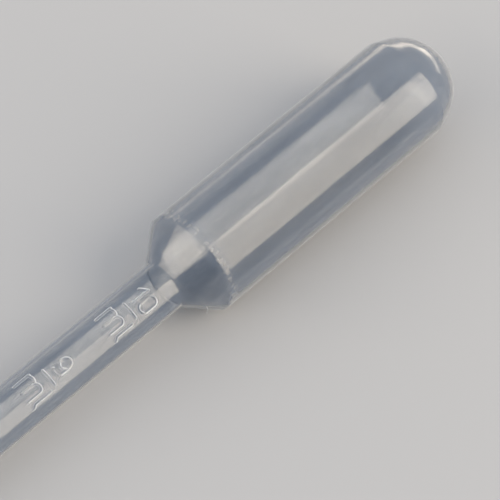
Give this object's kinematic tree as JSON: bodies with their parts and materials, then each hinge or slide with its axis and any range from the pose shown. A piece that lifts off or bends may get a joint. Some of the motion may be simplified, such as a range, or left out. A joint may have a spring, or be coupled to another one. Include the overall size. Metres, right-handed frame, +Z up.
{
  "type": "graduated dropper pipette",
  "caption": "One-piece translucent plastic dropper pipette with a long graduated stem, a fine open spout and a round-ended squeeze bulb that draws up and drips liquid.",
  "frame": {"origin": "bottom centre of the bounding box of the pipette as it lies on a table", "axes": "+X runs from the spout to the bulb along the pipette, +Z is up, and the pipette's own axis rises 1.5 degrees towards +X because it lies on the foot of its stem and the shoulder of its bulb"},
  "size_m": [0.3, 0.0196, 0.0211],
  "materials": {
    "polyethylene": "natural low-density polyethylene, translucent, with a soft waxy gloss"
  },
  "bodies": {
    "root": {"pipette": "polyethylene"}
  },
  "joints": []
}
